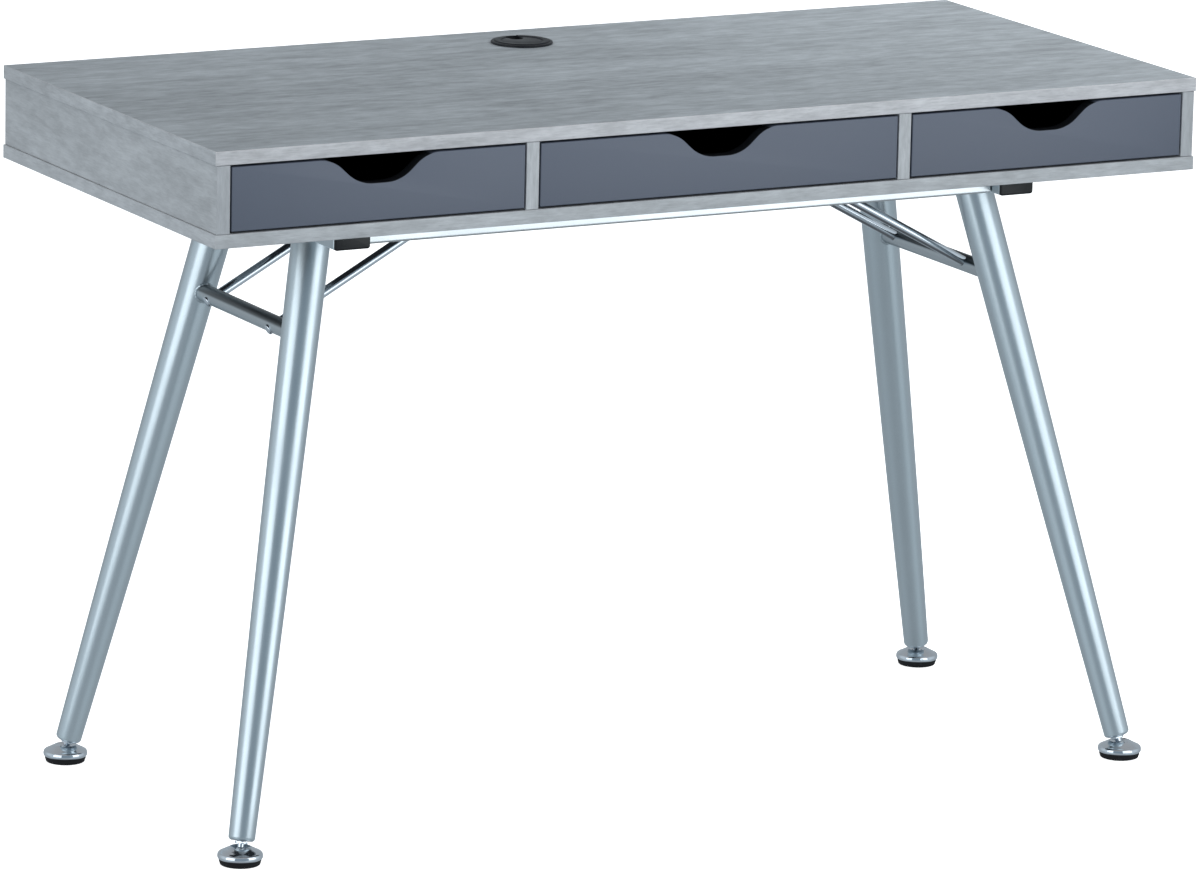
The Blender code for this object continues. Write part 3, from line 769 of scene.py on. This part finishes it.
def rounded_rectangle(width, height, rounding, steps=6):
    points = []
    for sign_x, sign_y, start in ((1, 1, 0), (-1, 1, 90), (-1, -1, 180), (1, -1, 270)):
        centre = (sign_x * (width / 2 - rounding), sign_y * (height / 2 - rounding))
        points += arc(centre, rounding, start, start + 90, steps)
    return points


def rect_tube(name, low, high, along):
    """A rectangular tube with rounded corners, open at its two ends. along is 0 for X or 1 for Y."""
    across = 1 - along
    centre = (low + high) / 2
    width, height = high[across] - low[across], high.z - low.z
    outer = rounded_rectangle(width, height, TUBE_ROUNDING)
    inner = rounded_rectangle(width - 2 * TUBE_WALL, height - 2 * TUBE_WALL, TUBE_ROUNDING - TUBE_WALL)
    soft = TUBE_MOUTH_ROUNDING
    loops = [(outer, low[along] + soft), (outer, high[along] - soft)]
    shrunk = rounded_rectangle(width - 2 * soft, height - 2 * soft, TUBE_ROUNDING - soft)
    loops += [(shrunk, high[along]), (inner, high[along]), (inner, low[along]), (shrunk, low[along])]
    sections = []
    for outline, position in loops:
        ring = []
        for u, v in outline:
            point = Vector((0.0, 0.0, centre.z + v))
            point[along] = position
            point[across] = centre[across] + u
            ring.append(point)
        sections.append(ring)
    return loft(name, sections, closed_path=True)


def make_beams():
    for side in SIDES:
        low, high = span(f"beam_{side}")
        beam = rect_tube(f"side_beam_{side}", low, high, 1)
        finish_piece(beam, "root", "silver", [f"beam_{side}"])
        for end, sign in ENDS.items():
            make_beam_cap(side, end, sign)
    for end in ENDS:
        low, high = span(f"rail_{end}")
        rail = rect_tube(f"cross_rail_{end}", low, high, 0)
        finish_piece(rail, "root", "rail", [f"rail_{end}"])


def make_beam_cap(side, end, sign):
    """A push-in cap: a cushioned head outside the tube and a plug inside it."""
    low, high = span(f"beam_cap_{side}_{end}")
    beam_low, beam_high = span(f"beam_{side}")
    centre = (low + high) / 2
    width, height = high.x - low.x, high.z - low.z
    mouth = beam_low.y if sign < 0 else beam_high.y
    outer = low.y if sign < 0 else high.y
    inner = high.y if sign < 0 else low.y
    plug_inset = 2 * (TUBE_WALL + FIT)
    steps = [(mouth + sign * 0.0003, 0.0012), (mouth + sign * 0.0008, 0.0), (outer - sign * 0.0012, 0.0)]
    steps += [(outer - sign * 0.0005, 0.0012), (outer, 0.0040)]
    sections = []
    plug = [(inner, plug_inset + 0.0020), (inner + sign * 0.0020, plug_inset),
            (mouth + sign * 0.0003, plug_inset)]
    for position, inset in plug + steps:
        outline = rounded_rectangle(width - inset, height - inset, max(0.0008, TUBE_ROUNDING - inset / 2))
        sections.append([Vector((centre.x + u, position, centre.z + v)) for u, v in outline])
    cap = loft(f"beam_end_cap_{side}_{end}", sections)
    finish_piece(cap, "root", "plastic", [f"beam_cap_{side}_{end}"])


def leg_solid(name, side, end, extra=0.0):
    """A leg's outer shape, from its nose to above the beam's underside."""
    ball, up = leg_axis(side, end)
    top = leg_length(side, end) + LEG_TOP_RADIUS
    nose_radius = leg_radius(LEG_END + LEG_NOSE, side, end) + extra
    nose = arc((nose_radius - LEG_NOSE, LEG_END + LEG_NOSE), LEG_NOSE, 0, -90, 8)
    bore = STUD_RADIUS + FIT
    profile = [(0.0, top), (LEG_TOP_RADIUS + extra, top)]
    tapered = leg_length(side, end) - LEG_END - LEG_NOSE
    for step in range(LEG_RINGS, 0, -1):
        distance = LEG_END + LEG_NOSE + tapered * step / LEG_RINGS
        profile.append((leg_radius(distance, side, end) + extra, distance))
    profile += nose
    if not extra:
        profile += [(bore + 0.0006, LEG_END), (bore, LEG_END + 0.0006)]
        profile += [(bore, STUD_BORE_END), (0.0, STUD_BORE_END)]
    else:
        profile += [(0.0, LEG_END)]
    return turned(name, profile, ball, up)


def make_leg(side, end):
    level = span(f"leg_{end}_{side}")[1].z
    leg = leg_solid(f"tapered_leg_{end}_{side}", side, end)
    bm = bmesh.new()
    bm.from_mesh(leg.data)
    geometry = bm.verts[:] + bm.edges[:] + bm.faces[:]
    sliced = bmesh.ops.bisect_plane(bm, geom=geometry, plane_co=(0, 0, level), plane_no=(0, 0, 1),
                                    clear_outer=True)
    rim = [item for item in sliced["geom_cut"] if isinstance(item, bmesh.types.BMEdge)]
    bmesh.ops.contextual_create(bm, geom=rim)
    bm.to_mesh(leg.data)
    bm.free()
    smooth(leg.data)
    finish_piece(leg, "root", "silver", [f"leg_{end}_{side}"])


def on_leg(side, end, point, toward):
    """Where a line from point in direction toward meets the leg's surface."""
    ball, up = leg_axis(side, end)
    for _ in range(14):
        offset = point - ball
        distance = offset.dot(up)
        away = offset - up * distance
        point = point + toward * (away.length - leg_radius(distance, side, end))
    return point


def make_crossbar(side):
    ends = {end: leg_point(side, end, middle_of(f"crossbar_{side}").z) for end in ENDS}
    bore = CROSSBAR_RADIUS - TUBE_WALL
    half = (ends["rear"].y - ends["front"].y) / 2
    profile = [(bore, half), (CROSSBAR_RADIUS, half), (CROSSBAR_RADIUS, -half), (bore, -half)]
    middle = (ends["front"] + ends["rear"]) / 2
    bar = turned(f"round_crossbar_{side}", profile, middle, (0, 1, 0), 64, closed=True)
    cutters = [leg_solid("cope", side, end, FIT) for end in ENDS]
    for end in ENDS:
        start, rise = brace_line(side, end)
        cutters.append(drill(start, BRACE_RADIUS + FIT, 2 * CROSSBAR_RADIUS, rise, 32))
    cut(bar, *cutters)
    finish_piece(bar, "root", "bar", [f"crossbar_{side}"])
    for end, sign in ENDS.items():
        toward = Vector((0.0, sign, 0.0))
        loop = []
        for angle in turns(72):
            rim = Vector((math.cos(angle), 0.0, math.sin(angle))) * (CROSSBAR_RADIUS + 0.0002)
            loop.append(on_leg(side, end, middle + rim, toward) - toward * 0.0004)
        finish_piece(bead(f"crossbar_weld_{end}_{side}", loop, WELD_RADIUS), "root", "silver")


def make_leg_weld(side, end):
    """A bead where the leg meets the underside of its beam."""
    centre = leg_point(side, end, span(f"beam_{side}")[0].z - WELD_RADIUS / 2)
    loop = []
    for angle in turns(96):
        outward = Vector((math.cos(angle), math.sin(angle), 0.0))
        loop.append(on_leg(side, end, centre + 0.05 * outward, -outward))
    finish_piece(bead(f"leg_weld_{end}_{side}", loop, WELD_RADIUS), "root", "silver")


def brace_line(side, end):
    """The middle of a brace in its crossbar, and the direction that it rises in."""
    leg = leg_point(side, end, middle_of(f"crossbar_{side}").z)
    start = Vector((leg.x, leg.y - ENDS[end] * BRACE_FROM_LEG[end], leg.z))
    rise = Vector((-SIDES[side] * math.cos(BRACE_RISE), 0.0, math.sin(BRACE_RISE)))
    return start, rise


def ellipse(centre, side_axis, up_axis, half_width, half_height, power=2.0, steps=36):
    """A ring of points between an ellipse, power 2, and a rounded rectangle, a higher power."""
    ring = []
    for angle in turns(steps):
        c, s = math.cos(angle), math.sin(angle)
        u = math.copysign(abs(c) ** (2 / power), c) * half_width
        v = math.copysign(abs(s) ** (2 / power), s) * half_height
        ring.append(centre + side_axis * u + up_axis * v)
    return ring


def make_brace(side, end):
    """A rod with a domed head under the crossbar, pressed flat where it is screwed to the case."""
    start, rise = brace_line(side, end)
    low, high = span(f"brace_{end}_{side}")
    inward = -SIDES[side]
    across = Vector((0.0, 1.0, 0.0))
    flat = Vector((inward, 0.0, 0.0))
    tab_half = BRACE_TAB_HALF_THICKNESS
    tab_z = high.z - tab_half
    tab_far = high.x - 0.0005 if inward > 0 else low.x + 0.0005
    bend = start + rise * ((tab_z - 0.006 - start.z) / rise.z)
    stations = [(start + rise * -(CROSSBAR_RADIUS - 0.0020), rise, BRACE_RADIUS, BRACE_RADIUS, 2.0)]
    stations.append((bend, rise, BRACE_RADIUS, BRACE_RADIUS, 2.0))
    tab_start = Vector((tab_far - inward * BRACE_TAB_LENGTH * 0.62, bend.y, tab_z))
    for step in range(1, 8):
        share = step / 8
        ease = share * share * (3 - 2 * share)
        point = bend.lerp(tab_start, share)
        point.z = bend.z + (tab_z - bend.z) * math.sin(share * math.pi / 2)
        heading = rise.lerp(flat, ease).normalized()
        wide = BRACE_RADIUS + (0.0095 - BRACE_RADIUS) * ease
        thick = BRACE_RADIUS + (tab_half - BRACE_RADIUS) * ease
        stations.append((point, heading, wide, thick, 2.0 + 1.2 * ease))
    # The tab's end is rounded off: shares of its length and half widths there.
    tab_shape = ((0.0, BRACE_TAB_HALF_WIDTH), (0.5, BRACE_TAB_HALF_WIDTH), (0.8, 0.0094), (0.93, 0.0078),
                 (0.99, 0.0050), (1.0, 0.0030))
    for share, wide in tab_shape:
        point = tab_start.lerp(Vector((tab_far, bend.y, tab_z)), share)
        stations.append((point, flat, wide, tab_half, 3.4))
    sections = []
    for centre, heading, wide, thick, power in stations:
        up_axis = across.cross(heading) * -inward
        sections.append(ellipse(centre, across, up_axis.normalized(), wide, thick, power))
    rod = loft(f"brace_rod_{end}_{side}", sections)
    finish_piece(rod, "root", "brace", [f"brace_{end}_{side}"])
    add_brace_head(side, end)
    place = tab_start.lerp(Vector((tab_far, bend.y, tab_z)), 0.45)
    place.z = tab_z - tab_half
    add_screw(f"brace_screw_{end}_{side}", place, (0, 0, -1), "root")


def add_brace_head(side, end):
    """The brace's domed head, let into the lower side of the crossbar."""
    start, rise = brace_line(side, end)
    rim = -(CROSSBAR_RADIUS + 0.0002)
    seat = rim + 0.0018
    angles = [math.radians(step * 11.25) for step in range(8)]
    dome = [(BRACE_HEAD_RADIUS * math.cos(a), rim - BRACE_HEAD_DOME * math.sin(a)) for a in angles]
    profile = [(0.0, seat), (BRACE_HEAD_RADIUS - 0.0003, seat), (BRACE_HEAD_RADIUS, seat - 0.0003)]
    profile += [*dome, (0.0, rim - BRACE_HEAD_DOME)]
    head = turned(f"brace_head_{end}_{side}", profile, start, rise, 48)
    finish_piece(head, "root", "brace")


# The feet


def make_foot(side, end):
    ball, up = leg_axis(side, end)
    place = f"{end}_{side}"
    base = Vector((ball.x, ball.y, 0.0))
    dish = [
        (0.0, 0.0082), (0.0058, 0.0082), (0.0058, 0.0164), (0.0108, 0.0186),
        *arc((0.0117, 0.0182), 0.0008, 130, 58, 4),
        (0.0140, 0.0178), (0.0165, 0.0166), (0.0190, 0.0153), (0.0213, 0.0139),
        *arc((0.0213, 0.0107), 0.0031, 72, 10, 8),
        (0.0246, 0.0098), (0.0246, 0.0090), (0.0243, 0.0078), (0.0239, 0.0071), (0.0234, 0.0068),
        (0.0, 0.0068),
    ]
    piece = turned(f"foot_cup_{place}", dish, base)
    finish_piece(piece, f"foot_{place}", "foot", [f"foot_dish_{place}"])
    pad = [
        (0.0, 0.0065), (0.0232, 0.0065), (0.0231, 0.0060), (0.0226, 0.0036), (0.0219, 0.0017),
        *arc((0.0208, 0.0012), 0.0010, 30, -60, 5), (0.0205, 0.0),
    ]
    for radius in (0.017, 0.013, 0.009):
        pad += [(radius + 0.0012, 0.0), (radius + 0.0008, 0.0006), (radius, 0.0006), (radius - 0.0004, 0.0)]
    pad.append((0.0, 0.0))
    piece = turned(f"foot_grip_{place}", pad, base)
    finish_piece(piece, f"foot_{place}", "rubber", [f"foot_pad_{place}"])

    make_stud(place, ball, up)


def make_stud(place, ball, up):
    """A threaded stud with a nut on its neck and a ball at its end."""
    crest_radius = STUD_RADIUS - 0.0001
    first_crest = STUD_TOP - 0.0010
    shank = [(0.0, STUD_TOP), (STUD_RADIUS - 0.0011, STUD_TOP)]
    for turn in range(int((first_crest - 0.0120) / THREAD_PITCH)):
        crest = first_crest - turn * THREAD_PITCH
        shank += [(crest_radius, crest), (crest_radius - 0.0007, crest - THREAD_PITCH / 2)]
    shank += [(crest_radius, 0.0108), (NECK_RADIUS, 0.0104), (NECK_RADIUS, 0.0068)]
    shank += arc((0.0, 0.0), BALL_RADIUS, 49.1, -90, 14)[:-1] + [(0.0, -BALL_RADIUS)]
    stud = turned(f"foot_screw_{place}", shank, ball, up, 48)
    finish_piece(stud, f"stud_{place}", "foot", [f"foot_stud_{place}"])
    hexagon(f"foot_nut_{place}", ball, up, f"stud_{place}")


def hexagon(name, origin, up, body):
    """A nut with chamfered corners, round the stud's neck."""
    chamfer = 0.0006
    chamfered = NUT_CORNER_RADIUS * 0.90
    bore = NECK_RADIUS + 0.0001
    rings = [(bore, NUT_END), (chamfered, NUT_END), (NUT_CORNER_RADIUS, NUT_END - chamfer)]
    rings += [(NUT_CORNER_RADIUS, NUT_START + chamfer), (chamfered, NUT_START), (bore, NUT_START)]
    bm = bmesh.new()
    turn = placement(origin, up)
    half_flat = NUT_CORNER_RADIUS * math.cos(math.pi / 6)
    loops = []
    for radius, height in rings:
        loop = []
        for angle in turns(48):
            reach = min(radius, half_flat / math.cos((angle % (math.pi / 3)) - math.pi / 6))
            point = Vector((reach * math.cos(angle), reach * math.sin(angle), height))
            loop.append(bm.verts.new(turn @ point))
        loops.append(loop)
    for first, second in zip(loops, loops[1:] + loops[:1]):
        join_rings(bm, first, second)
    finish_piece(new_object(name, bm, 25), body, "foot")


# Fasteners


def screw_mesh():
    """The mesh of a pan-head screw with a cross recess: its seat at the origin, its head along +Z."""
    dome = [(0.0, 0.0020), (0.0014, 0.00197), (0.0026, 0.0017), (0.0034, 0.0011), (0.0036, 0.0004)]
    head = turned("screw_pattern", [*dome, (0.0035, 0.0), (0.0, 0.0)], segments=32)
    arms = ((0.0018, 0.0004), (0.0004, 0.0018))
    cut(head, *[rounded_box("recess", (-a, -b, 0.0010), (a, b, 0.0030)) for a, b in arms])
    mesh = head.data
    bpy.data.objects.remove(head)
    return mesh


def add_screw(name, place, direction, body):
    screw = bpy.data.objects.new(name, SCREW_MESH.copy())
    bpy.context.scene.collection.objects.link(screw)
    screw.data.transform(placement(place, direction))
    finish_piece(screw, body, "screw")


def make_fasteners():
    """The screws that show when the desk is seen from below or with a drawer open."""
    down = (0, 0, -1)
    case_bottom = span("bottom_board")[0].z
    for side in SIDES:
        for number, y in enumerate(BOARD_SCREWS_Y):
            for part, node in (("end", f"side_panel_{side}"), ("divider", f"divider_{side}")):
                place = Vector((middle_of(node).x, y, case_bottom))
                add_screw(f"{part}_screw_{side}_{number}", place, down, "root")
        beam = f"beam_{side}"
        for number, y in enumerate(BEAM_SCREWS_Y):
            place = Vector((middle_of(beam).x, y, span(beam)[0].z))
            add_screw(f"beam_screw_{side}_{number}", place, down, "root")
    for end in ENDS:
        rail = f"rail_{end}"
        for number, x in enumerate(RAIL_SCREWS_X):
            place = Vector((x, middle_of(rail).y, span(rail)[0].z))
            add_screw(f"rail_screw_{end}_{number}", place, down, "root")
    for drawer in DRAWERS:
        make_drawer_screws(drawer)


def make_drawer_screws(drawer):
    """The screws through a drawer's sides into its back."""
    back = f"drawer_{drawer}_back"
    low, high = span(back)
    for side, sign in SIDES.items():
        wall_low, wall_high = span(f"drawer_{drawer}_side_{side}")
        outer = wall_low.x if sign < 0 else wall_high.x
        for number, z in enumerate((low.z + 0.010, high.z - 0.010)):
            place = Vector((outer, middle_of(back).y, z))
            add_screw(f"drawer_screw_{drawer}_{side}_{number}", place, (sign, 0, 0), f"drawer_{drawer}")


# The studio


def make_camera():
    camera = bpy.data.objects.new("camera", bpy.data.cameras.new("camera"))
    bpy.context.scene.collection.objects.link(camera)
    camera.data.lens = CAMERA_LENS
    camera.data.sensor_width = 36.0
    camera.data.clip_end = 100.0
    heading = Matrix.Rotation(-CAMERA_HEADING, 4, "Z")
    tilt = Matrix.Rotation(math.pi / 2 + CAMERA_PITCH, 4, "X")
    roll = Matrix.Rotation(CAMERA_ROLL, 4, "Z")
    camera.matrix_world = Matrix.Translation(CAMERA_PLACE) @ heading @ tilt @ roll
    bpy.context.scene.camera = camera


def make_floor():
    """A pale paper floor. Only the camera sees it: the light from below is the studio's own."""
    bm = bmesh.new()
    bmesh.ops.create_grid(bm, x_segments=1, y_segments=1, size=40.0)
    floor = new_object("studio_floor", bm)
    paper = Finish("studio_floor_paper", (0.90, 0.90, 0.90), 0.85)
    paper.set("Emission Color", (1.0, 1.0, 1.0, 1.0))
    paper.set("Emission Strength", FLOOR_GLOW)
    floor.data.materials.append(paper.material)
    floor.visible_glossy = False
    floor.visible_diffuse = False


def room_point(right, ahead, height):
    """A place in the studio, from metres to the camera's right, towards the camera, and up."""
    turn = Matrix.Rotation(-CAMERA_HEADING, 3, "Z")
    return turn @ Vector((right, -ahead, height))


def add_light(name, kind, place, target, energy, tone):
    light = bpy.data.lights.new(name, kind)
    light.energy = energy
    light.color = tone
    obj = bpy.data.objects.new(name, light)
    bpy.context.scene.collection.objects.link(obj)
    obj.location = place
    obj.rotation_mode = "QUATERNION"
    obj.rotation_quaternion = (target - place).to_track_quat("-Z", "Y")
    obj.visible_camera = False
    return obj


def make_area_lights():
    """Tall soft panels, which the silver parts reflect, and a soft light behind the right end."""
    for name, place, width, height, brightness, target, role in AREA_LIGHTS:
        energy = brightness * math.pi * width * height
        panel = add_light(name, "AREA", room_point(*place), Vector(target), energy, SOFTBOX_TONE)
        panel.data.shape = "RECTANGLE"
        panel.data.size = width
        panel.data.size_y = height
        panel.visible_diffuse = role == "light"
        panel.visible_glossy = role == "reflections"


def make_daylight():
    """Broad even light for the boards, from the left and from the right of the camera."""
    for name, turn, rise, strength in DAYLIGHT:
        turn, rise = math.radians(turn), math.radians(rise)
        place = room_point(math.sin(turn) * math.cos(rise), math.cos(turn) * math.cos(rise), math.sin(rise))
        sun = add_light(name, "SUN", place, Vector(), strength, SOFTBOX_TONE)
        sun.data.angle = math.radians(50)
        sun.visible_glossy = False


def make_room():
    """The grey room around the desk, painted on the world: walls, ceiling, and a floor with a pool
    of light under each softbox."""
    world = bpy.data.worlds.new("studio")
    bpy.context.scene.world = world
    world.use_nodes = True
    bpy.context.scene.view_settings.view_transform = "Standard"
    room = NodeTree(world.node_tree)
    direction = room.node("ShaderNodeTexCoord").outputs["Generated"]
    mapping = room.node("ShaderNodeMapping")
    mapping.inputs["Rotation"].default_value = (0.0, 0.0, CAMERA_HEADING)
    room.link(direction, mapping.inputs["Vector"])
    parts = room.node("ShaderNodeSeparateXYZ")
    room.link(mapping.outputs["Vector"], parts.inputs["Vector"])
    right, away, height = (parts.outputs[axis] for axis in "XYZ")
    # 0 towards the camera's side of the room, positive to the right
    turn = room.math("ARCTAN2", right, room.math("MULTIPLY", away, -1.0))

    around = room.math("ABSOLUTE", turn, 0.0)
    walls = room.mix(room.ramp(around, math.radians(25), math.radians(80)), FLAG_TONE, SIDE_TONE)
    walls = room.mix(room.ramp(around, math.radians(90), math.radians(135)), walls, WALL_TONE)
    beside = room.math("ABSOLUTE", room.math("SUBTRACT", around, math.radians(57)), 0.0)
    pool = room.ramp(beside, math.radians(42), math.radians(10))
    near = room.ramp(height, -0.68, -0.40)
    floor = room.mix(room.math("MULTIPLY", pool, near), FLOOR_TONE, POOL_TONE)
    tone = room.mix(room.ramp(height, -0.30, -0.04), floor, walls)
    tone = room.mix(room.ramp(height, -0.70, -0.95), tone, UNDER_TONE)
    tone = room.mix(room.ramp(height, 0.40, 0.90), tone, CEILING_TONE)
    background = world.node_tree.nodes["Background"]
    room.link(tone, background.inputs["Color"])
    background.inputs["Strength"].default_value = 1.0


SCREW_MESH = screw_mesh()
FINISHES = make_finishes()
make_case()
make_grommet()
make_drawers()
make_beams()
for side in SIDES:
    for end in ENDS:
        make_leg(side, end)
        make_leg_weld(side, end)
        make_brace(side, end)
        make_foot(side, end)
    make_crossbar(side)
make_fasteners()
make_camera()
make_floor()
make_area_lights()
make_daylight()
make_room()
